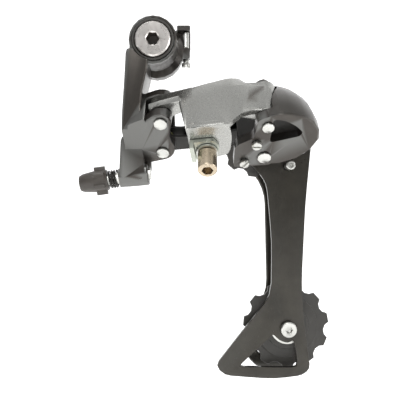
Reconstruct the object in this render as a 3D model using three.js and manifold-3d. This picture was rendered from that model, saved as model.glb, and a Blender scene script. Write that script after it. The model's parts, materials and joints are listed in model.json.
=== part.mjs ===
// Rear bicycle derailleur. Millimetres; +X forward on the bicycle, +Y inboard, +Z up.
// The origin is on the hanger axle's axis, in the plane of the hanger's outer face.
import * as THREE from 'three';
import { mergeVertices } from 'three/addons/utils/BufferGeometryUtils.js';
import Module from 'manifold-3d';

const wasm = await Module();
wasm.setup();

// ---------- driving dimensions ----------
const GAP = 0.3; // clearance between pieces that touch or turn on each other
const SIDES = 20; // facets of a full-size round
const SMALL = 10; // facets of a small round

const HANGER_THREAD = { r: 4.9, length: 9 }; // M10 x 1 stub behind the seat plane
const AXLE_SLEEVE_R = 6.5;
const AXLE_HEAD = { r: 7.55, front: -27, back: -22.4 };
const BOSS = { front: -25.6, back: -4.3, r: 10.3, flangeR: 12.5, flangeFront: -9, bore: 8.9 };
const STOPPER = { front: -3.9, back: -1.9, r: 12, tab: [9.5, 15.5, 0.6, 11.6] };
const B_SCREW = { x: 13.6, y: -6.6, top: 8.9, bottom: -5, r: 1.4, headR: 2.1 };

const LINK_TILT = THREE.MathUtils.degToRad(-40); // lean of the link pins from upright
const LINK_ORIGIN = [3.65, -30, -36.3]; // foot of the rear outer pin
const LINK_LENGTH = 43.6;
const LINK_REST = THREE.MathUtils.degToRad(-8); // swing of both links at rest
const PIN_SPACING = 16.5;
const PIN_R = 2.1;
const KNUCKLE_R = 5;
const REAR = { foot: 0, low: 5, high: 12.8, top: 17 }; // cheek heights at the bracket
const FRONT = { foot: -9, low: -4.3, high: 14.4, top: 17 }; // cheek heights at the mobile bracket

const PIVOT = [59, -36.5]; // cage axis, X and Z
const HOUSING = { r: 13, front: -14, back: 4.5, bore: 10.6, floor: -9 };
const PIVOT_AXLE_R = 5;
const OUTER_PLATE = [5.8, 8];
const INNER_PLATE = [18, 20];
const PULLEY_Y = 13;
const GUIDE = [49, -35.3]; // X and Z of the upper pulley
const TENSION = [62.8, -130.5]; // X and Z of the lower pulley
const TEETH = 11;
const TIP_R = 21.3;
const VALLEY = { centre: 23.17, r: 4.5 };
const STOP = [62.2, -51.8]; // cage stop screw, X and Z

const ADJUSTER = { x: -3.9, y: -14, z: -56.6, drop: THREE.MathUtils.degToRad(8) };

// ---------- shapes ----------
const point = (x, y, z) => new THREE.Vector3(x, y, z);
const turn = Math.PI * 2;

function welded(geometry) {
  const source = geometry.index ? geometry.toNonIndexed() : geometry;
  const plain = new THREE.BufferGeometry();
  plain.setAttribute('position', source.getAttribute('position'));
  const joined = mergeVertices(plain, 1e-3);
  const kept = [];
  const at = joined.index.array;
  for (let i = 0; i < at.length; i += 3) {
    const [a, b, c] = [at[i], at[i + 1], at[i + 2]];
    if (a !== b && b !== c && c !== a) kept.push(a, b, c);
  }
  joined.setIndex(kept);
  return joined;
}

function solid(geometry, frame) {
  const g = welded(geometry);
  if (frame) g.applyMatrix4(frame);
  const build = (index) => new wasm.Manifold(new wasm.Mesh({
    numProp: 3,
    vertProperties: new Float32Array(g.attributes.position.array),
    triVerts: new Uint32Array(index),
  }));
  const index = [...g.index.array];
  const made = build(index);
  return made.volume() > 0 ? made : build(index.reverse());
}

const all = (list) => list.reduce((sum, next) => sum.add(next));
const without = (body, list) => list.reduce((left, next) => left.subtract(next), body);

// A turned piece about +Y from [radius, y] points.
function turned(profile, x = 0, z = 0, sides = SIDES) {
  const points = profile.map(([r, y]) => new THREE.Vector2(r, y));
  return new THREE.LatheGeometry(points, sides).translate(x, 0, z);
}

function disc(r, y0, y1, x = 0, z = 0, sides = SIDES, chamfer = 0) {
  const c = chamfer;
  const edge = c ? [[r - c, y0], [r, y0 + c], [r, y1 - c], [r - c, y1]] : [[r, y0], [r, y1]];
  return turned([[0, y0], ...edge, [0, y1]], x, z, sides);
}

function ring(r0, r1, y0, y1, x = 0, z = 0, sides = SIDES) {
  return turned([[r0, y0], [r1, y0], [r1, y1], [r0, y1], [r0, y0]], x, z, sides);
}

// A closed outline with its corners rounded.
function rounded(points, radius) {
  if (!radius) return new THREE.Shape(points.map((p) => new THREE.Vector2(...p)));
  const shape = new THREE.Shape();
  points.forEach((p, i) => {
    const here = new THREE.Vector2(...p);
    const before = new THREE.Vector2(...points.at(i - 1)).sub(here);
    const after = new THREE.Vector2(...points[(i + 1) % points.length]).sub(here);
    const cut = Math.min(p[2] ?? radius, before.length() * 0.45, after.length() * 0.45);
    const start = before.setLength(cut).add(here);
    const end = after.setLength(cut).add(here);
    if (i) shape.lineTo(start.x, start.y);
    else shape.moveTo(start.x, start.y);
    shape.quadraticCurveTo(here.x, here.y, end.x, end.y);
  });
  shape.closePath();
  return shape;
}

function circle(r, x = 0, y = 0) {
  return new THREE.Shape().absarc(x, y, r, 0, turn);
}

function hexagon(acrossFlats, x = 0, y = 0) {
  const r = acrossFlats / Math.sqrt(3);
  const corners = Array.from({ length: 6 }, (_, i) => (i * turn) / 6);
  return new THREE.Shape(corners.map((a) => new THREE.Vector2(x + r * Math.cos(a), y + r * Math.sin(a))));
}

// An outline in X and Y raised from z0 to z1.
function prism(shape, z0, z1, bevel = 0, curveSegments = 2) {
  const options = { depth: z1 - z0 - 2 * bevel, bevelEnabled: bevel > 0, curveSegments };
  const edge = { bevelThickness: bevel, bevelSize: bevel, bevelOffset: -bevel, bevelSegments: 1 };
  return new THREE.ExtrudeGeometry(shape, { ...options, ...edge }).translate(0, 0, z0 + bevel);
}

// An outline in X and Z carried along Y from y0 to y1.
function plate(shape, y0, y1, bevel = 0, curveSegments = 2) {
  return prism(shape, -y1, -y0, bevel, curveSegments).rotateX(Math.PI / 2);
}

// A skin through equal rings of points, closed flat at both ends.
function loft(rings) {
  const count = rings[0].length;
  const points = rings.flat();
  const index = [];
  for (let k = 0; k + 1 < rings.length; k += 1) {
    for (let i = 0; i < count; i += 1) {
      const j = (i + 1) % count;
      const [a, b, c, d] = [k * count + i, k * count + j, (k + 1) * count + j, (k + 1) * count + i];
      index.push(a, b, c, a, c, d);
    }
  }
  const last = (rings.length - 1) * count;
  for (let i = 1; i + 1 < count; i += 1) {
    index.push(0, i + 1, i, last, last + i, last + i + 1);
  }
  const g = new THREE.BufferGeometry().setFromPoints(points);
  g.setIndex(index);
  return g;
}

class Helix extends THREE.Curve {
  constructor(r, turns, pitch) {
    super();
    Object.assign(this, { r, turns, pitch });
  }

  getPoint(t) {
    const a = t * this.turns * turn;
    return point(this.r * Math.cos(a), this.r * Math.sin(a), t * this.turns * this.pitch);
  }
}

// A coil of round wire about Z, standing on z = 0.
function coil(r, wire, turns, pitch) {
  const path = new Helix(r, turns, pitch);
  const steps = Math.round(turns * 10);
  const options = { steps, extrudePath: path, bevelEnabled: false, curveSegments: 3 };
  return new THREE.ExtrudeGeometry(circle(wire / 2), options).translate(0, 0, wire / 2);
}

// ---------- frames ----------
const atLinkage = new THREE.Matrix4().makeRotationX(LINK_TILT).setPosition(...LINK_ORIGIN);
const linkFrame = (y) => atLinkage.clone()
  .multiply(new THREE.Matrix4().makeRotationZ(LINK_REST).setPosition(0, y, 0));
const atOuterLink = linkFrame(0);
const atInnerLink = linkFrame(PIN_SPACING);
const REAR_PINS = [[0, 0], [0, PIN_SPACING]];
const FRONT_PINS = REAR_PINS.map(([x, y]) => [
  x + LINK_LENGTH * Math.cos(LINK_REST), y + LINK_LENGTH * Math.sin(LINK_REST),
]);

const upright = (geometry) => geometry.rotateX(Math.PI / 2);
// A round standing along the pins.
const post = (r, z0, z1, [x, y], sides = SMALL, chamfer = 0) =>
  upright(disc(r, z0, z1, 0, 0, sides, chamfer)).translate(x, y, 0);
const postAt = (r, z0, z1, spot, frame = atLinkage, sides = SMALL, chamfer = 0) =>
  solid(post(r, z0, z1, spot, sides, chamfer), frame);

// ---------- materials and pieces ----------
const group = new THREE.Group();
group.name = 'rear_derailleur';

function add(name, body, color, roughness, metalness) {
  const g = new THREE.BufferGeometry();
  const made = body.getMesh();
  g.setAttribute('position', new THREE.BufferAttribute(new Float32Array(made.vertProperties), 3));
  g.setIndex(new THREE.BufferAttribute(new Uint32Array(made.triVerts), 1));
  const flat = g.toNonIndexed();
  flat.computeVertexNormals();
  const mesh = new THREE.Mesh(flat, new THREE.MeshStandardMaterial({ color, roughness, metalness }));
  mesh.name = name;
  group.add(mesh);
}

const STEEL = ['#c0c0b8', 0.28, 1];
const BRIGHT = ['#e6dfd8', 0.3, 1];
const SPRING = ['#7f7f7a', 0.35, 1];
const LINK_SILVER = ['#96918a', 0.36, 0.85];
const BRACKET_GREY = ['#6e645c', 0.42, 0.6];
const BLACK_STEEL = ['#2a2925', 0.45, 0.5];
const CAGE_BLACK = ['#3c3932', 0.38, 0.6];
const BLACK_PLASTIC = ['#32302a', 0.55, 0];
const BROWN_PLASTIC = ['#4a423a', 0.5, 0];

// ---------- hanger axle ----------
const axleProfile = [
  [0, AXLE_HEAD.front], [AXLE_HEAD.r - 0.6, AXLE_HEAD.front], [AXLE_HEAD.r, AXLE_HEAD.front + 0.6],
  [AXLE_HEAD.r, AXLE_HEAD.back], [AXLE_SLEEVE_R, AXLE_HEAD.back], [AXLE_SLEEVE_R, -1.7],
  [AXLE_SLEEVE_R - 0.8, -1.7], [AXLE_SLEEVE_R - 0.8, -0.6], [AXLE_SLEEVE_R, -0.6], [AXLE_SLEEVE_R, 0],
  [HANGER_THREAD.r, 0], [HANGER_THREAD.r, HANGER_THREAD.length - 0.8],
  [HANGER_THREAD.r - 0.8, HANGER_THREAD.length], [0, HANGER_THREAD.length],
];
add('hanger_axle_bolt', without(solid(turned(axleProfile)), [
  solid(plate(hexagon(5), AXLE_HEAD.front - 1, AXLE_HEAD.front + 5)),
  solid(turned([[0, AXLE_HEAD.front - 1], [4, AXLE_HEAD.front - 1], [2.6, AXLE_HEAD.front + 0.5],
    [0, AXLE_HEAD.front + 0.5]])),
]), ...BRIGHT);

add('axle_circlip', without(solid(ring(AXLE_SLEEVE_R - 0.5, AXLE_SLEEVE_R + 1.3, -1.5, -0.8)), [
  solid(plate(rounded([[-2, 3], [2, 3], [2, 12], [-2, 12]], 0.2), -3, 1)),
]), ...SPRING);

const [tabLeft, tabRight, tabLow, tabHigh] = STOPPER.tab;
add('stopper_plate', without(all([
  solid(disc(STOPPER.r, STOPPER.front, STOPPER.back)),
  solid(plate(rounded([[4, -4], [tabRight, tabLow], [tabRight, tabHigh], [tabLeft, tabHigh], [2, 6]], 1.4),
    STOPPER.front, STOPPER.back)),
  solid(plate(rounded([[tabLeft, tabHigh - 2.2], [tabRight, tabHigh - 2.2], [tabRight, tabHigh],
    [tabLeft, tabHigh]], 0.5), -9, STOPPER.back)),
]), [solid(disc(AXLE_SLEEVE_R + GAP, -12, 2))]), ...BRACKET_GREY);

// ---------- bracket ----------
const boss = turned([
  [0, BOSS.front], [BOSS.r - 0.5, BOSS.front], [BOSS.r, BOSS.front + 0.5], [BOSS.r, BOSS.front + 3],
  [BOSS.r - 0.6, BOSS.front + 3.6], [BOSS.r - 0.2, BOSS.flangeFront - 3],
  [BOSS.flangeR, BOSS.flangeFront], [BOSS.flangeR, BOSS.back], [0, BOSS.back],
]);
const ARM = [
  [-7, -4], [-11.2, -4], [-11.9, -18], [-12.8, -31], [-13, -38], [-12.4, -47], [-15.5, -53.5],
  [-14.5, -59], [-6, -60.5], [-2, -56], [-2, -42], [-4.6, -34], [-5, -29], [-4.2, -21], [-2, -12], [-2, -4],
];
const REAR_CHEEK = [
  [-14.5, 3.5], [-6.1, -1], [-2.2, -4.4], [2.6, -4.6, 3], [4.9, -1], [3.4, 6], [3.6, 10], [5.6, 14],
  [5, 18], [2.6, 21], [-8, 24], [-16, 22],
];
const REAR_TOP = [[-14, 1], [-6, -3], [-1, -5], [3.5, -4.4], [5, 0], [5.2, 16], [3, 21], [-3, 22.4], [-14, 20]];
const ADJUSTER_NECK = [[-14.6, -40], [-15.4, -58], [-5, -59.4], [-4.4, -52], [-6, -40]];
const linkRoom = [[-5.6, -20], [40, -20], [40, 30], [-5.6, 30]];
const arm = solid(plate(rounded(ARM, 2.5), -27.5, -7, 0.6));
const belowFeet = solid(prism(rounded([[-60, -60], [80, -60], [80, 60], [-60, 60]], 0), -80, REAR.foot), atLinkage);
const adjusterFrame = new THREE.Matrix4().makeRotationY(-Math.PI / 2 - ADJUSTER.drop)
  .setPosition(ADJUSTER.x, ADJUSTER.y, ADJUSTER.z);
const along = (profile, sides = SMALL) => upright(turned(profile, 0, 0, sides));
const adjusterHousing = along([[0, -1], [4.4, -1], [5, -0.4], [4.8, 5], [4.3, 12], [0, 12]]);

const bracket = without(all([
  solid(boss),
  without(arm, [belowFeet]),
  solid(prism(rounded(REAR_CHEEK, 2), REAR.foot, REAR.low, 0.5), atLinkage),
  solid(prism(rounded(REAR_TOP, 2), REAR.high, REAR.top, 0.5), atLinkage),
  solid(prism(rounded([[-14, 1], [-6.4, -2.6], [-6.4, 22], [-14, 21]], 1.5), REAR.foot, REAR.top), atLinkage),
  solid(plate(rounded([[9, -4], [15.4, -3.4], [15.4, 1.2], [9, 3]], 1), -9, BOSS.back)),
  solid(plate(rounded(ADJUSTER_NECK, 2), -18.6, -9.4)),
  solid(adjusterHousing, adjusterFrame),
]), [
  solid(turned([[0, BOSS.front - 4], [9.3, BOSS.front - 4], [9.3, BOSS.front + 3.5], [6.9, BOSS.front + 3.5],
    [6.9, BOSS.front + 4.6], [BOSS.bore, BOSS.front + 4.6], [BOSS.bore, BOSS.back - 1.5],
    [AXLE_SLEEVE_R + GAP, BOSS.back - 1.5], [AXLE_SLEEVE_R + GAP, 1], [0, 1]])),
  solid(prism(rounded(linkRoom, 0.5), REAR.low + 0, REAR.high), atLinkage),
  ...REAR_PINS.map((spot) => postAt(PIN_R + GAP, REAR.foot - 3, REAR.top + 3, spot)),
  solid(disc(B_SCREW.r + GAP, -20, 20, 0, 0, SMALL).rotateX(Math.PI / 2)
    .translate(B_SCREW.x, B_SCREW.y, 0)),
  solid(along([[0, -3], [2.9, -3], [2.9, 14], [0, 14]]), adjusterFrame),
]);
add('bracket_body', bracket, ...BRACKET_GREY);

add('axle_dust_ring', solid(ring(AXLE_HEAD.r + GAP, 9, BOSS.front - 0.7, BOSS.front + 1.5)), ...BLACK_PLASTIC);

const bracketSpring = coil(7.75, 1.5, 5.5, 2).rotateX(-Math.PI / 2).translate(0, BOSS.front + 5.6, 0);
add('bracket_spring', solid(bracketSpring), ...SPRING);

const screwDown = (shape) => shape.rotateX(Math.PI / 2).translate(B_SCREW.x, B_SCREW.y, 0);
add('bracket_angle_screw', without(all([
  solid(screwDown(disc(B_SCREW.r, B_SCREW.bottom, B_SCREW.top, 0, 0, SMALL))),
  solid(screwDown(disc(B_SCREW.headR, B_SCREW.bottom - 2.2, B_SCREW.bottom, 0, 0, SMALL, 0.4))),
]), [
  solid(prism(rounded([[-0.45, -4], [0.45, -4], [0.45, 4], [-0.45, 4]], 0), -9, B_SCREW.bottom - 1.2)
    .translate(B_SCREW.x, B_SCREW.y, 0)),
]), ...STEEL);

const rivet = (spot, foot, top, headR) => all([
  postAt(PIN_R, foot - 0.6, top + 0.9, spot, atLinkage, SMALL, 0.3),
  solid(upright(turned([[0, -1.3], [headR * 0.6, -1.2], [headR, -0.7], [headR, 0], [0, 0]], 0, 0, SMALL))
    .translate(spot[0], spot[1], foot - GAP), atLinkage),
]);
add('rear_outer_pin', rivet(REAR_PINS[0], REAR.foot, REAR.top, 2.9), ...STEEL);
add('rear_inner_pin', rivet(REAR_PINS[1], REAR.foot, REAR.top, 2.9), ...STEEL);
add('front_outer_pin', rivet(FRONT_PINS[0], FRONT.foot, FRONT.top, 2.5), ...STEEL);
add('front_inner_pin', rivet(FRONT_PINS[1], FRONT.foot, FRONT.top, 2.9), ...STEEL);

const returnSpring = coil(4.5, 1.3, 1.6, 1.45).translate(0, PIN_SPACING, REAR.low + 1.9);
add('return_spring', solid(returnSpring, atLinkage), '#7c7a4e', 0.5, 0.3);

// ---------- cable adjuster ----------
add('adjuster_stem', solid(along([[1.3, -2], [2.55, -2], [2.55, 27], [1.3, 27], [1.3, -2]]), adjusterFrame),
  ...STEEL);
add('adjuster_spring', solid(coil(3.6, 1, 3, 1.15).translate(0, 0, 12.4), adjusterFrame), ...BLACK_STEEL);
const gripLobes = Array.from({ length: 6 }, (_, i) => {
  const box = prism(rounded([[3, -1.3], [6.3, -1], [6.3, 1], [3, 1.3]], 0.6), 18, 22.8);
  return solid(box.rotateZ((i * turn) / 6), adjusterFrame);
});
add('adjuster_barrel', without(all([
  solid(along([[0, 17.2], [4.4, 17.2], [4.9, 18.4], [4.8, 23], [4.1, 28], [3.4, 29.6], [0, 29.6]], SIDES),
    adjusterFrame),
  ...gripLobes,
]), [
  solid(along([[0, 16], [2.55 + GAP, 16], [2.55 + GAP, 27 + GAP], [0, 27 + GAP]]), adjusterFrame),
  solid(along([[0, 26], [1.3, 26], [1.3, 31], [0, 31]]), adjusterFrame),
]), ...BROWN_PLASTIC);

// ---------- links ----------
// Stations along the outer link: [distance, foot, crease, top, outer face].
const OUTER_WALL = [
  [-4.6, 5.6, 7.5, 10.4, -4.6], [0, 5.6, 8, 11.2, -5.4], [8.4, 5.6, 8.6, 12.4, -6.4],
  [10, -3, 0, 12.9, -7.2], [11.8, -12.6, 0.8, 13.4, -7.4], [19, -12.6, 3.8, 14.9, -7.8],
  [28.6, -12.6, 8.6, 17, -7.8], [30.6, -9.6, 9.6, 17.4, -7.4], [33.6, -6, 10.6, 17.4, -6.8],
  [37.4, -4, 10.4, 14, -6], [43.6, -4, 10, 14, -5.3], [46.6, -4, 10, 13.8, -4],
];
const wallRings = OUTER_WALL.map(([l, foot, crease, top, face]) => [
  point(l, face + 1, foot), point(l, face + 3, foot), point(l, face + 3, top - 0.6), point(l, face + 1.8, top),
  point(l, face, crease),
]);
const LINK_SHELF = [[11.8, -7], [28.6, -7], [29.2, 0], [27.6, 9], [23, 10.5], [15, 9.5], [11.8, 4]];
const ANCHOR = [18.8, 4.4];
const outerLink = without(all([
  solid(loft(wallRings), atOuterLink),
  solid(prism(rounded(LINK_SHELF, 2), -12.6, -9.4, 0.4), atOuterLink),
  postAt(KNUCKLE_R - 0.1, REAR.low + 0.4, REAR.high - 0.4, [0, 0], atOuterLink, SIDES),
  postAt(KNUCKLE_R - 0.1, FRONT.low + 0.4, FRONT.high - 0.4, [LINK_LENGTH, 0], atOuterLink, SIDES),
  solid(prism(rounded([[0, -5], [14, -7], [14, -2], [0, 3]], 0), REAR.low + 0.4, REAR.high - 0.4), atOuterLink),
  solid(prism(rounded([[32, -6], [LINK_LENGTH, -5], [LINK_LENGTH, 3], [32, -2]], 0), -3, 13), atOuterLink),
]), [
  postAt(PIN_R + GAP, -20, 40, [0, 0], atOuterLink),
  postAt(PIN_R + GAP, -20, 40, [LINK_LENGTH, 0], atOuterLink),
  postAt(2.5 + GAP, -20, 0, ANCHOR, atOuterLink),
]);
add('outer_link', outerLink, ...LINK_SILVER);

const innerOutline = (web) => rounded([
  [-4.8, -2], [0, -4.8], [8, -2.6], [34, -3], [LINK_LENGTH, -4.8], [48.4, 0], [LINK_LENGTH, 4.8], [34, web],
  [9, web], [0, 4.8], [-4.8, 2],
], 3);
const innerPlates = (z0, z1, z2, z3) => [[z0, z1], [z2, z3]]
  .map(([low, high]) => solid(prism(innerOutline(4.6), low, high), atInnerLink));
const innerLow = REAR.low + 0.4;
const innerHigh = REAR.high - 0.4;
add('inner_link', without(all([
  ...innerPlates(innerLow, innerLow + 1.3, innerHigh - 1.3, innerHigh),
  solid(prism(rounded([[8.6, 1.8], [40, 1.8], [40, 4.3], [8.6, 4.3]], 0.4), innerLow + 0.2, innerHigh - 0.2), atInnerLink),
  solid(prism(rounded([[33, -4], [LINK_LENGTH, -4.4], [LINK_LENGTH, 4.4], [33, 4.1]], 1), FRONT.low + 0.7,
    FRONT.high - 0.7), atInnerLink),
  postAt(KNUCKLE_R - 0.2, FRONT.low + 0.4, FRONT.high - 0.4, [LINK_LENGTH, 0], atInnerLink, SIDES),
]), [
  postAt(PIN_R + GAP, -20, 40, [0, 0], atInnerLink),
  postAt(PIN_R + 0.8, -20, 40, [LINK_LENGTH, 0], atInnerLink),
]), ...BLACK_STEEL);

add('cable_anchor_bolt', without(all([
  postAt(2.5, -17, -6.5, ANCHOR, atOuterLink),
  postAt(3.8, -25.4, -16.1, ANCHOR, atOuterLink, SIDES, 0.5),
]), [solid(prism(hexagon(4, ...ANCHOR), -27, -20), atOuterLink)]), '#c8b9a0', 0.3, 1);
const anchorRing = (r, z0, z1) => upright(ring(2.5 + GAP, r, z0, z1, 0, 0, SIDES)).translate(...ANCHOR, 0);
add('cable_anchor_washer', solid(anchorRing(4.3, -15.8, -14.9), atOuterLink), ...STEEL);
add('cable_clamp_plate', without(all([
  solid(prism(rounded([[12.4, -1], [22, -1], [24, 3], [22, 9.4], [14, 9]], 1.5), -14.6, -12.9), atOuterLink),
  solid(prism(rounded([[12.4, -1], [14.2, -1], [14.2, 7], [12.4, 7]], 0.5), -17.5, -12.9), atOuterLink),
]), [postAt(2.5 + GAP, -20, 0, ANCHOR, atOuterLink)]), '#a9ad9f', 0.32, 1);

// ---------- mobile bracket ----------
const DOME_EDGE = [
  [43, -11.5], [47, -13], [51.2, -12.8], [56.4, -11.4], [60.8, -8.6], [63.7, -4.1], [64.4, 0.6], [62, 6.4],
  [57, 11.5], [50, 14.6], [43, 15],
];
// Height along the pins and how much of the edge remains there.
const DOME_RISE = [[-9, 0.96], [-8.4, 1], [-3, 1], [3, 0.95], [8, 0.86], [13, 0.73], [17, 0.58], [20, 0.42]];
const DOME_CENTRE = [46, 3];
const domeRings = DOME_RISE.map(([z, part]) => DOME_EDGE.map(([x, y]) => point(
  DOME_CENTRE[0] + (x - DOME_CENTRE[0]) * part, DOME_CENTRE[1] + (y - DOME_CENTRE[1]) * part, z,
)));
const [fo, fi] = FRONT_PINS;
const FRONT_TOP = [
  [fo[0] - 4, fo[1] - 1.5], [fo[0], fo[1] - 4.2], [fo[0] + 4.2, fo[1] - 0.5], [fi[0] + 6, fi[1]],
  [fi[0] + 2, fi[1] + 4.8], [fi[0] - 3, fi[1] + 4.8], [fi[0] - 4.6, fi[1] - 2],
];
const FRONT_CHEEK = [
  [fo[0] - 4.4, fo[1] - 3], [fo[0], fo[1] - 5.4], [fo[0] + 8, fo[1] - 5], [fo[0] + 10, fo[1] + 4],
  [fi[0] + 9, fi[1]], [fi[0] + 2, fi[1] + 5], [fi[0] - 3, fi[1] + 5.2], [30.6, fi[1] + 6.5], [30.6, fi[1] - 6],
  [fo[0] - 5, fo[1] + 6],
];
const LEAF = [[44.6, 2.4], [44.8, -9.8], [49.7, -9.2], [54.1, -6.6], [57.4, -3.2], [56.4, -1.2], [50, 0.8]];
const LIMIT_SCREWS = [[35.1, 13.4], [39.4, 3]];
const frontRoom = [[20, -20], [fo[0], -20], [fo[0] + 2.6, fo[1]], [fi[0] + 2.6, fi[1]], [fi[0], 20], [20, 20]];
const span = [FRONT.low, FRONT.high];
const mobile = without(all([
  solid(loft(domeRings), atLinkage),
  solid(prism(rounded(FRONT_CHEEK, 2), FRONT.foot, FRONT.low), atLinkage),
  solid(prism(rounded(FRONT_TOP, 2), FRONT.high, FRONT.top), atLinkage),
  solid(turned([[0, -22], [9, -21], [HOUSING.r - 0.6, -17], [HOUSING.r, HOUSING.front],
    [HOUSING.r, HOUSING.back], [0, HOUSING.back]], ...PIVOT)),
]), [
  solid(prism(rounded(frontRoom, 0.2), ...span), atLinkage),
  ...FRONT_PINS.flatMap((spot) => [
    postAt(KNUCKLE_R + 0.9, ...span, spot, atLinkage, SIDES),
    postAt(PIN_R + GAP, -20, 40, spot),
  ]),
  solid(prism(rounded(LEAF, 1.5), -12, -4.6), atLinkage),
  ...LIMIT_SCREWS.map((spot) => postAt(1.3 + GAP, -20, FRONT.low + 1, spot)),
  solid(turned([[0, HOUSING.floor], [HOUSING.bore, HOUSING.floor], [HOUSING.bore, 6], [0, 6]], ...PIVOT)),
  solid(disc(PIVOT_AXLE_R - 1 + GAP, -17, 6, ...PIVOT, SIDES)),
]);
add('mobile_bracket', mobile, ...BRACKET_GREY);

LIMIT_SCREWS.forEach((spot, i) => {
  const slot = prism(rounded([[-0.4, -3], [0.4, -3], [0.4, 3], [-0.4, 3]], 0), -14, FRONT.foot - 1.3)
    .rotateZ(0.6 + i).translate(...spot, 0);
  add(`limit_screw_${i ? 'low' : 'high'}_gear`, without(all([
    postAt(1.3, FRONT.foot - 1, FRONT.low + 0.2, spot),
    postAt(2.1, FRONT.foot - 2.2, FRONT.foot - GAP, spot, atLinkage, SMALL, 0.4),
  ]), [solid(slot, atLinkage)]), ...STEEL);
});

add('cage_spring', solid(coil(8.4, 1.8, 4.4, 2.3).rotateX(-Math.PI / 2)
  .translate(PIVOT[0], HOUSING.floor + 0.4, PIVOT[1])), ...SPRING);

// ---------- cage ----------
add('cage_axle', solid(turned([[0, -16.4], [PIVOT_AXLE_R - 1, -16.4], [PIVOT_AXLE_R - 1, HOUSING.floor + GAP],
  [PIVOT_AXLE_R, HOUSING.floor + GAP], [PIVOT_AXLE_R, 5.2], [PIVOT_AXLE_R - 1.6, 5.2],
  [PIVOT_AXLE_R - 1.6, 8.2], [0, 8.2]], ...PIVOT, SIDES)), ...STEEL);
add('cage_seal_ring', solid(ring(PIVOT_AXLE_R + GAP, HOUSING.bore - GAP, 3.6, 5.3, ...PIVOT)), ...BLACK_PLASTIC);

const OUTER_OUTLINE = [
  [74.4, -38, 8], [73.6, -45, 8], [71.2, -70, 8], [69.4, -108, 8], [70, -122, 8], [72.6, -143, 4],
  [73.6, -150, 4], [69.6, -153.2, 5], [56, -155, 6], [32, -153.2, 5], [27.4, -148.6, 3], [41, -131.2, 6],
  [54.6, -114.4, 6], [55, -88, 8], [53, -66, 4], [52.2, -60, 3], [48.6, -54.6, 3], [42, -48, 6],
  [39.6, -36, 7], [44, -25.6, 7], [54, -21.4, 9], [66, -21.6, 9], [73, -28, 8],
];
const LOOP = [
  [38.6, -149, 2.4], [67.4, -149.4, 2.6], [67, -143, 4], [65.4, -136, 1], [62.8, -137.6, 3],
  [58.4, -136.2, 2], [55.6, -133.2, 1],
];
add('outer_cage_plate', without(solid(plate(rounded(OUTER_OUTLINE, 4), ...OUTER_PLATE)), [
  solid(plate(rounded(LOOP, 2), 2, 12)),
  solid(disc(PIVOT_AXLE_R - 1.6 + GAP, 2, 12, ...PIVOT, SIDES)),
  solid(disc(2.5 + GAP, 2, 12, ...GUIDE, SMALL)),
  solid(disc(2.5 + GAP, 2, 12, ...TENSION, SMALL)),
  solid(disc(1.6 + GAP, 2, 12, ...STOP, SMALL)),
]), ...CAGE_BLACK);

const INNER_OUTLINE = [
  [70, -48, 8], [68.6, -108, 6], [71, -122, 8], [73, -140, 6], [70, -150, 6], [60, -154.6, 6], [48, -153, 6],
  [43, -146, 5], [42.6, -139, 4], [46, -131, 5], [50, -123, 5], [54, -113, 6], [53.4, -88, 8],
  [53, -66, 6], [50, -58, 6], [43, -50, 5], [40, -42, 5], [39, -35, 4], [42, -27, 5], [52, -25, 7], [66, -36, 8],
];
const GUARD = [[46, -140, 2], [52, -127, 3], [54, -133, 3], [57, -139, 3], [62, -141.6, 2], [57, -148, 3],
  [50, -146.6, 3]];
add('inner_cage_plate', without(solid(plate(rounded(INNER_OUTLINE, 4), ...INNER_PLATE)), [
  solid(plate(rounded(GUARD, 2), 12, 26)),
  solid(disc(2.5 + GAP, 12, 26, ...GUIDE, SMALL)),
  solid(disc(2.5 + GAP, 12, 26, ...TENSION, SMALL)),
]), ...CAGE_BLACK);

add('cage_stop_screw', without(all([
  solid(disc(1.6, -3, 7.6, ...STOP, SMALL)),
  solid(disc(2.2, -5.4, 0.6, ...STOP, SMALL, 0.4)),
]), [solid(plate(hexagon(2, ...STOP), -7, -3.4))]), ...STEEL);

// ---------- pulleys ----------
const wheelOutline = new THREE.Shape();
for (let i = 0; i < TEETH; i += 1) {
  const a = (i * turn) / TEETH;
  const reach = Math.acos((TIP_R ** 2 + VALLEY.centre ** 2 - VALLEY.r ** 2) / (2 * TIP_R * VALLEY.centre));
  const corner = (side) => [TIP_R * Math.cos(a + side * reach), TIP_R * Math.sin(a + side * reach)];
  const [cx, cy] = [VALLEY.centre * Math.cos(a), VALLEY.centre * Math.sin(a)];
  const angle = (side) => Math.atan2(corner(side)[1] - cy, corner(side)[0] - cx);
  const start = corner(-1);
  if (i) wheelOutline.lineTo(...start);
  else wheelOutline.moveTo(...start);
  wheelOutline.absarc(cx, cy, VALLEY.r, angle(-1), angle(1), true);
}
wheelOutline.closePath();

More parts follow.
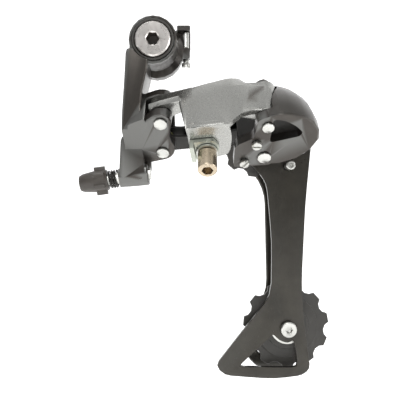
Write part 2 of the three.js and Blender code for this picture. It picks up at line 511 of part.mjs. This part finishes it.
const bolts = {
  guide: (x, z) => without(all([
    solid(disc(2.5, 6.2, 21, x, z, SMALL)),
    solid(disc(3.9, 20.3, 22.6, x, z, SIDES, 0.4)),
  ]), [solid(plate(hexagon(3, x, z), 21, 24))]),
  tension: (x, z) => without(all([
    solid(disc(2.5, 5, 20.4, x, z, SMALL)),
    solid(disc(3.85, 3, 5.5, x, z, SIDES, 0.4)),
  ]), [solid(plate(hexagon(3, x, z), 2, 4.6))]),
};
for (const [name, [x, z], phase] of [['guide', GUIDE, 0.27], ['tension', TENSION, 0.1]]) {
  const [low, high] = [PULLEY_Y - 3.5, PULLEY_Y + 3.5];
  const wheel = plate(wheelOutline, PULLEY_Y - 1.1, PULLEY_Y + 1.1, 0.25, 2);
  add(`${name}_pulley`, without(all([
    solid(wheel.rotateY(phase).translate(x, 0, z)),
    solid(turned([[0, low], [10.4, low], [11, low + 0.6], [11, high - 0.6], [10.4, high], [0, high]], x, z)),
    solid(turned([[0, low + 1.6], [15.5, low + 1.6], [16.4, high - 1.6], [0, high - 1.6]], x, z)),
  ]), [solid(disc(4 + GAP, 0, 30, x, z, SIDES))]), ...BLACK_PLASTIC);
  add(`${name}_pulley_bush`, solid(ring(2.5 + GAP, 4, low + 0.1, high - 0.1, x, z, SIDES)), ...STEEL);
  [['outer', OUTER_PLATE[1] + GAP, low - GAP], ['inner', high + GAP, INNER_PLATE[0] - GAP]]
    .forEach(([side, from, to]) => {
      add(`${name}_pulley_${side}_cap`, solid(ring(2.5 + GAP, 8.3, from, to, x, z)), ...STEEL);
    });
  add(`${name}_pulley_bolt`, bolts[name](x, z), ...STEEL);
}

export default group;
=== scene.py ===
import json
import math

import bmesh
import bpy
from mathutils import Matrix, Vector

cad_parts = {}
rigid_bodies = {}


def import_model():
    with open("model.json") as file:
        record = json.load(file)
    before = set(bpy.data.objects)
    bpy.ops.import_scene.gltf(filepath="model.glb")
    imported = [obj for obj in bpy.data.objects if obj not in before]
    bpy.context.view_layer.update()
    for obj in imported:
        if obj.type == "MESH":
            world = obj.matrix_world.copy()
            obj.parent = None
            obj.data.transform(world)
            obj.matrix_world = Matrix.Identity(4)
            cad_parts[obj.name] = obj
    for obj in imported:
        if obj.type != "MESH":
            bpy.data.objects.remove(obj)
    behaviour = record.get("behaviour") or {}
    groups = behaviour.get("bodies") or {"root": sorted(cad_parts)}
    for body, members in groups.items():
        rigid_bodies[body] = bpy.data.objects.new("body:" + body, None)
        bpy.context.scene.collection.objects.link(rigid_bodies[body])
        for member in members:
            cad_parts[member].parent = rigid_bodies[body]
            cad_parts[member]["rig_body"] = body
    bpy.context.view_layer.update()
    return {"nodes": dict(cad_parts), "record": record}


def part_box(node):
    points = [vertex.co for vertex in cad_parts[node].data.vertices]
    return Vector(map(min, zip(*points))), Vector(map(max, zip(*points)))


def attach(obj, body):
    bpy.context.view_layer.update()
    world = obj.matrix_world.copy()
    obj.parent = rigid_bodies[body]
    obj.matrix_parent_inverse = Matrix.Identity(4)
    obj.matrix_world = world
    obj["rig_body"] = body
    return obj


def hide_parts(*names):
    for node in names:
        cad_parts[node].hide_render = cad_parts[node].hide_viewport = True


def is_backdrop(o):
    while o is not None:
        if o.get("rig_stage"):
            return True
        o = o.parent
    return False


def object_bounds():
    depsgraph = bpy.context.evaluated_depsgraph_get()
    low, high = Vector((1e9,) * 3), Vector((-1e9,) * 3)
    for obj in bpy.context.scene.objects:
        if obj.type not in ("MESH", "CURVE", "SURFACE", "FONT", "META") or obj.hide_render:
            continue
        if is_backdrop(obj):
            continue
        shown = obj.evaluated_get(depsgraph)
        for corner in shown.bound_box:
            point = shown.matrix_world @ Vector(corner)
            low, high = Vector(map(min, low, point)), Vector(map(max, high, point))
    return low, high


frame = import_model()
nodes = frame["nodes"]
body_of = {name: node["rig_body"] for name, node in nodes.items()}
slot_of = {sub["node"]: sub["material_slot"] for sub in frame["record"]["subparts"]}
MM = 0.001


# ---------- materials ----------
CLOUD_SCALE, CLOUD_DETAIL = 90.0, 4.0
GRAIN_DETAIL = 3.0
GRAIN_DEPTH = 0.12 * MM
COAT_ROUGHNESS = 0.12
# The painted edge highlight: the pointiness where it starts and where it is full, and how much less
# blue it is.
HIGHLIGHT_FROM, HIGHLIGHT_FULL = 0.52, 0.62
HIGHLIGHT_BLUE = 0.95


def noise(tree, where, scale, detail):
    """Grey spots fixed to the object's own coordinates."""
    spots = tree.nodes.new("ShaderNodeTexNoise")
    spots.inputs["Scale"].default_value = scale
    spots.inputs["Detail"].default_value = detail
    tree.links.new(where, spots.inputs["Vector"])
    return spots.outputs["Fac"]


def two_tones(tree, spots, color, spread):
    """The colour, darker in some patches and lighter in others."""
    tone = tree.nodes.new("ShaderNodeValToRGB")
    dark, light = tone.color_ramp.elements
    dark.position = 0.3
    light.position = 0.7
    dark.color = (*[c * (1 - spread) for c in color], 1)
    light.color = (*[min(1.0, c * (1 + spread)) for c in color], 1)
    tree.links.new(spots, tone.inputs["Fac"])
    return tone.outputs["Color"]


def painted_edge_highlight(tree, color, edge_highlight):
    """The colour, with a painted highlight of brighter metal along the raised edges."""
    edge = tree.nodes.new("ShaderNodeNewGeometry")
    mask = tree.nodes.new("ShaderNodeMapRange")
    mask.inputs["From Min"].default_value = HIGHLIGHT_FROM
    mask.inputs["From Max"].default_value = HIGHLIGHT_FULL
    tree.links.new(edge.outputs["Pointiness"], mask.inputs["Value"])
    highlighted = tree.nodes.new("ShaderNodeMix")
    highlighted.data_type = "RGBA"
    tree.links.new(mask.outputs["Result"], highlighted.inputs["Factor"])
    tree.links.new(color, highlighted.inputs["A"])
    highlighted.inputs["B"].default_value = (edge_highlight, edge_highlight, edge_highlight * HIGHLIGHT_BLUE, 1)
    return highlighted.outputs["Result"]


def material(name, color, roughness, metallic, grain, bump, spread, coat=0.0, edge_highlight=0.0):
    """A metal or plastic with fine grain, uneven sheen and a little colour change."""
    m = bpy.data.materials.new(name)
    m.use_nodes = True
    tree = m.node_tree
    shader = tree.nodes["Principled BSDF"]
    shader.inputs["Metallic"].default_value = metallic
    shader.inputs["Coat Weight"].default_value = coat
    shader.inputs["Coat Roughness"].default_value = COAT_ROUGHNESS
    where = tree.nodes.new("ShaderNodeTexCoord").outputs["Object"]
    clouds = noise(tree, where, CLOUD_SCALE, CLOUD_DETAIL)
    grains = noise(tree, where, grain, GRAIN_DETAIL)

    out = two_tones(tree, clouds, color, spread)
    # Painted highlight: raised edges are lightened as if light caught on them.
    if edge_highlight:
        out = painted_edge_highlight(tree, out, edge_highlight)
    tree.links.new(out, shader.inputs["Base Color"])

    sheen = tree.nodes.new("ShaderNodeMapRange")
    sheen.inputs["To Min"].default_value = max(0.05, roughness - 0.08)
    sheen.inputs["To Max"].default_value = roughness + 0.1
    tree.links.new(grains, sheen.inputs["Value"])
    tree.links.new(sheen.outputs["Result"], shader.inputs["Roughness"])
    relief = tree.nodes.new("ShaderNodeBump")
    relief.inputs["Strength"].default_value = bump
    relief.inputs["Distance"].default_value = GRAIN_DEPTH
    tree.links.new(grains, relief.inputs["Height"])
    tree.links.new(relief.outputs["Normal"], shader.inputs["Normal"])
    return m


# Each finish: colour, roughness, metallic, grain, bump, spread, then a coat and a painted edge
# highlight if any.
LOOKS = {
    "bright_steel": ((0.72, 0.69, 0.66), 0.28, 1.0, 500, 0.1, 0.08),
    "steel": ((0.55, 0.55, 0.52), 0.3, 1.0, 900, 0.12, 0.15),
    "spring_steel": ((0.3, 0.3, 0.28), 0.35, 1.0, 900, 0.12, 0.2),
    "bracket_grey": ((0.06, 0.054, 0.048), 0.31, 0.85, 1600, 0.14, 0.12, 0.2, 0.14),
    "link_silver": ((0.165, 0.156, 0.143), 0.28, 0.95, 1600, 0.14, 0.2, 0.25, 0.36),
    "black_steel": ((0.022, 0.021, 0.019), 0.4, 0.5, 1200, 0.12, 0.25),
    "cage_black": ((0.032, 0.029, 0.023), 0.3, 0.7, 1500, 0.16, 0.25, 0.25, 0.08),
    "black_plastic": ((0.03, 0.028, 0.024), 0.45, 0.0, 1100, 0.2, 0.2),
    "brown_plastic": ((0.05, 0.043, 0.036), 0.42, 0.0, 1100, 0.2, 0.2),
    "olive_steel": ((0.16, 0.16, 0.07), 0.4, 0.6, 900, 0.12, 0.2),
    "copper_steel": ((0.52, 0.44, 0.33), 0.28, 1.0, 900, 0.12, 0.15),
    "plate_steel": ((0.4, 0.42, 0.37), 0.3, 1.0, 900, 0.12, 0.15),
}
FINISHES = {name: material(name, *look) for name, look in LOOKS.items()}
for node, slot in slot_of.items():
    slots = nodes[node].data.materials
    slots.clear()
    slots.append(FINISHES[slot])


# ---------- detailed pieces ----------
SMOOTH, SMOOTH_TURNED = 40.0, 35.0
BEVEL_ABOVE = 32.0
FLAT_WITHIN = 1.5
WELD = 0.002 * MM
TURNS = 96


def settle(o, smooth):
    """Rounds the shading over edges softer than smooth degrees and keeps the sharp ones."""
    for p in o.data.polygons:
        p.use_smooth = True
    only = [o]
    with bpy.context.temp_override(
        object=o, active_object=o, selected_objects=only, selected_editable_objects=only
    ):
        bpy.ops.object.shade_smooth_by_angle(angle=math.radians(smooth))


def piece(node, build, smooth):
    """A mesh piece made by build(bm), in place of a CAD node and riding on its body."""
    name = node + "_detail"
    bm = bmesh.new()
    build(bm)
    bmesh.ops.recalc_face_normals(bm, faces=bm.faces)
    mesh = bpy.data.meshes.new(name)
    bm.to_mesh(mesh)
    bm.free()
    o = bpy.data.objects.new(name, mesh)
    bpy.context.scene.collection.objects.link(o)
    mesh.materials.append(FINISHES[slot_of[node]])
    settle(o, smooth)
    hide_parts(node)
    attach(o, body_of[node])
    return o


def soften(node, width):
    """The node's own shape, with every hard edge broken by a small round."""
    def build(bm):
        bm.from_mesh(nodes[node].data)
        bmesh.ops.remove_doubles(bm, verts=bm.verts, dist=WELD)
        flat = math.radians(FLAT_WITHIN)
        bmesh.ops.dissolve_limit(bm, angle_limit=flat, verts=bm.verts, edges=bm.edges)

    o = piece(node, build, SMOOTH)
    bevel = o.modifiers.new("edge_round", "BEVEL")
    bevel.width = width * MM
    bevel.segments = 2
    bevel.limit_method = "ANGLE"
    bevel.angle_limit = math.radians(BEVEL_ABOVE)
    bevel.use_clamp_overlap = True
    return o


def turned(node, profile, centre):
    """A turned piece about +Y through centre (x, z), from closed (radius, y) points, all in mm."""
    def build(bm):
        rows = []
        for i in range(TURNS):
            a = math.tau * i / TURNS
            rows.append([
                bm.verts.new((
                    (centre[0] + r * math.cos(a)) * MM, y * MM, (centre[1] + r * math.sin(a)) * MM,
                ))
                for r, y in profile
            ])
        for i in range(TURNS):
            here, after = rows[i], rows[(i + 1) % TURNS]
            for k in range(len(profile)):
                n = (k + 1) % len(profile)
                bm.faces.new((here[k], here[n], after[n], after[k]))

    return piece(node, build, SMOOTH_TURNED)


# How wide each piece's edges are rounded, in mm.
EDGE_ROUND = {
    "bracket_body": 0.8,
    "mobile_bracket": 0.7,
    "outer_link": 0.7,
    "outer_cage_plate": 0.85,
    "inner_cage_plate": 0.7,
    "stopper_plate": 0.3,
    "inner_link": 0.25,
    "cable_anchor_bolt": 0.25,
    "cable_clamp_plate": 0.25,
    "adjuster_barrel": 0.5,
    "guide_pulley": 0.25,
    "tension_pulley": 0.25,
    "hanger_axle_bolt": 0.2,
    "rear_outer_pin": 0.15,
    "rear_inner_pin": 0.15,
    "front_outer_pin": 0.15,
    "front_inner_pin": 0.15,
    "limit_screw_high_gear": 0.1,
    "limit_screw_low_gear": 0.1,
    "cage_stop_screw": 0.15,
    "bracket_angle_screw": 0.1,
    "tension_pulley_bolt": 0.15,
    "guide_pulley_bolt": 0.15,
}
detail = {node: soften(node, width) for node, width in EDGE_ROUND.items()}

# The pulley caps are pressed discs, with a sunken ring inside a raised bead.
PULLEY_CENTRE = {"guide": (49.0, -35.3), "tension": (62.8, -130.5)}
CAP_SPAN = {"outer": (8.3, 9.2), "inner": (16.8, 17.7)}
CAP_BORE, CAP_HUB, CAP_DISH, CAP_BEAD, CAP_RIM = 2.85, 3.2, 5.5, 7.6, 8.2
for which, centre in PULLEY_CENTRE.items():
    for side, (low, high) in CAP_SPAN.items():
        outside = [(CAP_BORE, low), (CAP_HUB, low), (CAP_DISH, low + 0.25), (CAP_BEAD, low + 0.05)]
        rim = [(CAP_RIM, low + 0.2), (CAP_RIM, high - 0.1)]
        inside = [(CAP_BEAD, high), (CAP_DISH, high - 0.1), (CAP_HUB, high), (CAP_BORE, high)]
        turned(f"{which}_pulley_{side}_cap", outside + rim + inside, centre)

# The dust ring round the axle bolt has a narrow raised face.
RING_BORE, RING_FACE, RING_RIM = 7.9, (8.2, 8.7), 8.95
RING_CHAMFER, RING_INSET = 0.3, 0.05
low, high = (v[1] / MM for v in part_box("axle_dust_ring"))
turned("axle_dust_ring", [
    (RING_BORE, low + RING_CHAMFER), (RING_FACE[0], low + RING_INSET), (RING_FACE[1], low + RING_INSET),
    (RING_RIM, low + RING_CHAMFER), (RING_RIM, high - RING_INSET), (RING_BORE, high - RING_INSET),
], (0, 0))

# The nodes that no piece replaces show as they are, with the same shading over soft edges.
for o in nodes.values():
    if not o.hide_render:
        settle(o, SMOOTH)

# The hex socket of the axle bolt gets the dark brown plastic finish, as painted shade in the recess.
SOCKET_REACH = 3.0
SOCKET_MOUTH, SOCKET_FLOOR = -26.4, -20.0
bolt = detail["hanger_axle_bolt"].data
bolt.materials.append(FINISHES["brown_plastic"])
for face in bolt.polygons:
    from_axis = math.hypot(face.center.x, face.center.z)
    if from_axis < SOCKET_REACH * MM and SOCKET_MOUTH < face.center.y / MM < SOCKET_FLOOR:
        face.material_index = 1

# The down-facing faces of the sunken leaf in the mobile bracket get the black steel finish, as painted
# shade where they face down into the recess.
LEAN = math.radians(40)
PIN_DOWN = Vector((0, -math.sin(LEAN), -math.cos(LEAN)))
LINK_FOOT = Vector((3.65, -30.0, -36.3)) * MM
LEAF_TOP, LEAF_FLOOR, LEAF_START = 3.6, 5.6, 46.5
FACES_DOWN = 0.95
dome = detail["mobile_bracket"].data
dome.materials.append(FINISHES["black_steel"])
for face in dome.polygons:
    depth = (face.center - LINK_FOOT).dot(PIN_DOWN) / MM
    across = face.center.x / MM
    if face.normal.dot(PIN_DOWN) > FACES_DOWN and LEAF_TOP < depth < LEAF_FLOOR and across > LEAF_START:
        face.material_index = 1


# ---------- floor, light and camera ----------
def backdrop(lowest):
    """A pale sweep below the object: a floor that curves up into a wall."""
    floor, wall, bend, half_width, steps = lowest - 0.03, 1.2, 0.4, 4, 16
    profile = [(-3.0, floor)]
    for i in range(steps + 1):
        a = math.pi / 2 * i / steps
        profile.append((wall - bend + bend * math.sin(a), floor + bend - bend * math.cos(a)))
    profile.append((wall, 4.0))
    verts = [(x, y, h) for y, h in profile for x in (-half_width, half_width)]
    faces = [(2 * i, 2 * i + 1, 2 * i + 3, 2 * i + 2) for i in range(len(profile) - 1)]
    mesh = bpy.data.meshes.new("backdrop")
    mesh.from_pydata(verts, [], faces)
    m = bpy.data.materials.new("backdrop_white")
    m.use_nodes = True
    shader = m.node_tree.nodes["Principled BSDF"]
    shader.inputs["Base Color"].default_value = (0.9, 0.9, 0.9, 1)
    shader.inputs["Roughness"].default_value = 0.95
    shader.inputs["Emission Color"].default_value = (1, 1, 1, 1)
    shader.inputs["Emission Strength"].default_value = 0.62
    mesh.materials.append(m)
    o = bpy.data.objects.new("backdrop", mesh)
    bpy.context.scene.collection.objects.link(o)
    o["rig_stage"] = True


def surroundings():
    """A sky that is bright above and dark below, for the metal to reflect."""
    world = bpy.data.worlds.new("studio")
    bpy.context.scene.world = world
    world.use_nodes = True
    sky = world.node_tree
    where = sky.nodes.new("ShaderNodeTexCoord")
    split = sky.nodes.new("ShaderNodeSeparateXYZ")
    ramp = sky.nodes.new("ShaderNodeValToRGB")
    height = sky.nodes.new("ShaderNodeMapRange")
    height.inputs["From Min"].default_value = -1.0
    sky.links.new(where.outputs["Generated"], split.inputs["Vector"])
    sky.links.new(split.outputs["Z"], height.inputs["Value"])
    sky.links.new(height.outputs["Result"], ramp.inputs["Fac"])
    below, above = ramp.color_ramp.elements
    below.position = 0.42
    below.color = (0.03, 0.03, 0.03, 1)
    above.position = 0.86
    above.color = (0.7, 0.7, 0.7, 1)
    sky.links.new(ramp.outputs["Color"], sky.nodes["Background"].inputs["Color"])
    sky.nodes["Background"].inputs["Strength"].default_value = 1.0


def lamp(name, place, wide, watts):
    """A round area lamp that faces the middle of the object."""
    data = bpy.data.lights.new(name, "AREA")
    data.shape = "DISK"
    data.size = wide
    data.energy = watts
    o = bpy.data.objects.new(name, data)
    o.location = place
    o.rotation_euler = (Vector(MIDDLE) - Vector(place)).to_track_quat("-Z", "Y").to_euler()
    bpy.context.scene.collection.objects.link(o)


def camera(place):
    """A camera that looks along +Y, at the outside of the derailleur."""
    data = bpy.data.cameras.new("camera")
    data.lens = 45.0
    data.sensor_width = 36.0
    data.clip_start = 0.01
    eye = bpy.data.objects.new("camera", data)
    eye.location = place
    eye.rotation_euler = (math.pi / 2, 0, 0)
    bpy.context.scene.collection.objects.link(eye)
    bpy.context.scene.camera = eye


MIDDLE = (0.025, 0.0, -0.07)
backdrop(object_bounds()[0][2])
bpy.context.scene.view_settings.view_transform = "Standard"
surroundings()
lamp("key", (-0.1, -0.45, 0.5), 0.35, 2.4)
lamp("side", (0.6, -0.25, 0.1), 0.3, 1.3)
lamp("front", (0.02, -0.7, -0.05), 0.15, 0.22)
camera((0.020, -0.237, -0.068))
